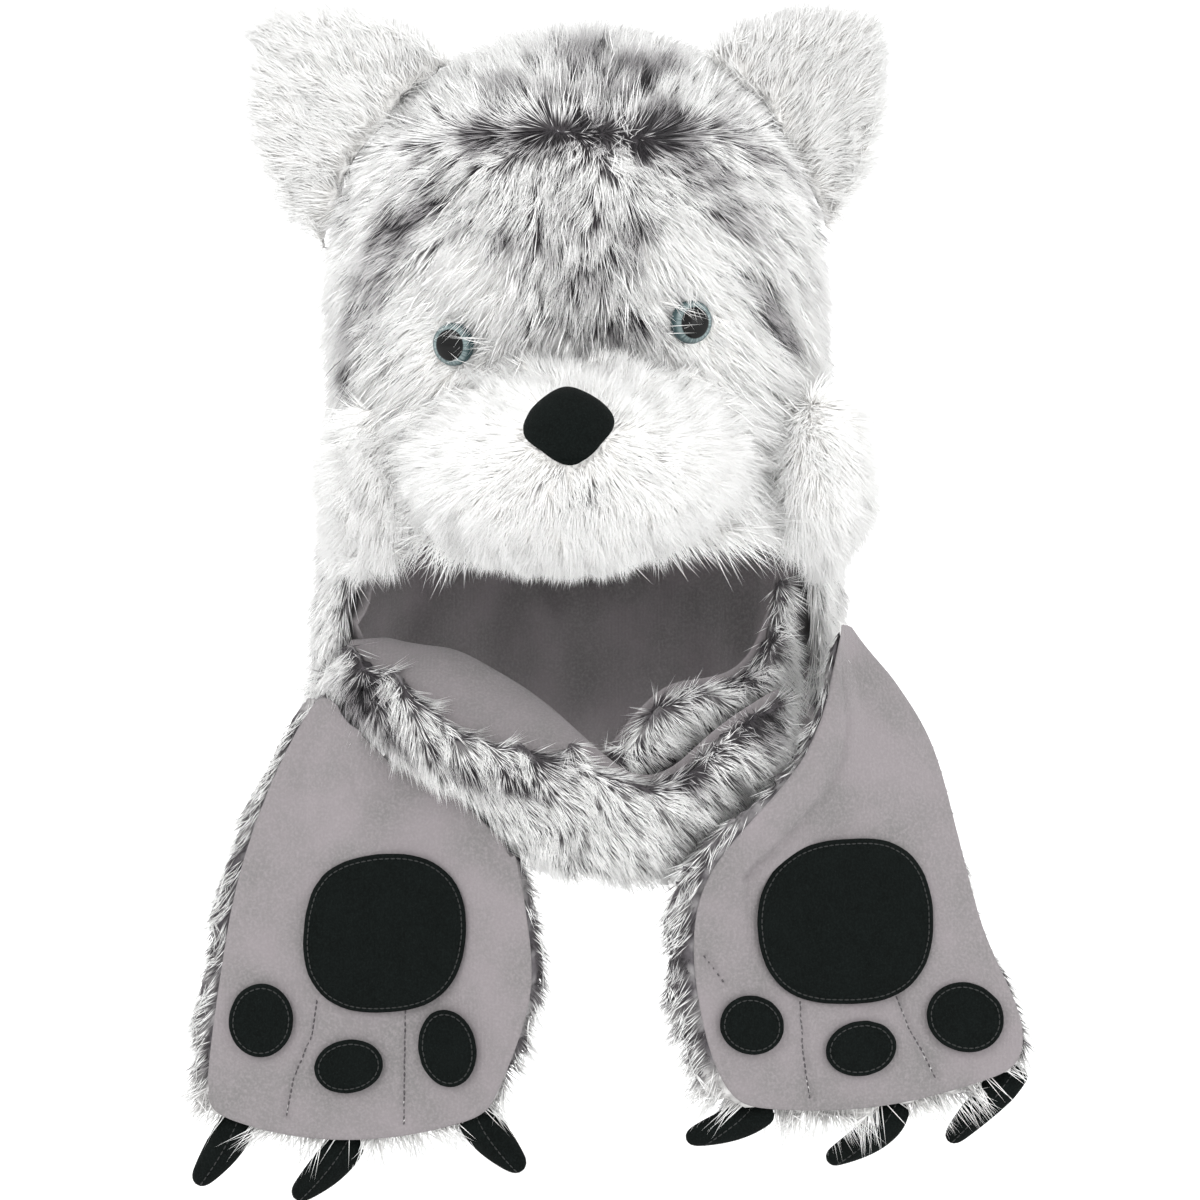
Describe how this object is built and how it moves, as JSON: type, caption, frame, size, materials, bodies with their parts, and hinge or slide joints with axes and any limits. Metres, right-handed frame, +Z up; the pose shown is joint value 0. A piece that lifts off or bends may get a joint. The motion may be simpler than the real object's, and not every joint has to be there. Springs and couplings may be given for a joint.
{
  "type": "animal hood scarf",
  "caption": "Faux-fur hood with a husky's face, ears and snout, a fleece lining, a crossed neck band, and hanging scarf arms that end in padded, clawed paws.",
  "frame": {"origin": "the inside of the hood's lining at the top, where the crown of the wearer's head meets it", "axes": "+Z up, the face looks along -Y, the wearer's left side is on +X"},
  "size_m": [0.3614, 0.3066, 0.4969],
  "materials": {
    "fur_grey": "deep pile",
    "fur_white": "deep pile",
    "fleece": "brushed",
    "felt_black": "felted",
    "eye_plastic": "gloss"
  },
  "bodies": {
    "root": {"hood_fur": "fur_grey", "hood_lining": "fleece", "ear_left": "fur_white", "ear_right": "fur_white", "snout": "fur_white", "cheek_left": "fur_white", "cheek_right": "fur_white", "nose": "felt_black", "eye_left": "eye_plastic", "eye_right": "eye_plastic", "over_band_fur": "fur_grey", "over_band_lining": "fleece", "under_band_fur": "fur_grey", "under_band_lining": "fleece", "arm_left_fur": "fur_grey", "arm_left_lining": "fleece", "arm_left_pad_palm": "felt_black", "arm_left_pad_toe_1": "felt_black", "arm_left_pad_toe_2": "felt_black", "arm_left_pad_toe_3": "felt_black", "arm_left_claw_1": "felt_black", "arm_left_claw_2": "felt_black", "arm_left_claw_3": "felt_black", "arm_right_fur": "fur_grey", "arm_right_lining": "fleece", "arm_right_pad_palm": "felt_black", "arm_right_pad_toe_1": "felt_black", "arm_right_pad_toe_2": "felt_black", "arm_right_pad_toe_3": "felt_black", "arm_right_claw_1": "felt_black", "arm_right_claw_2": "felt_black", "arm_right_claw_3": "felt_black"}
  },
  "joints": []
}
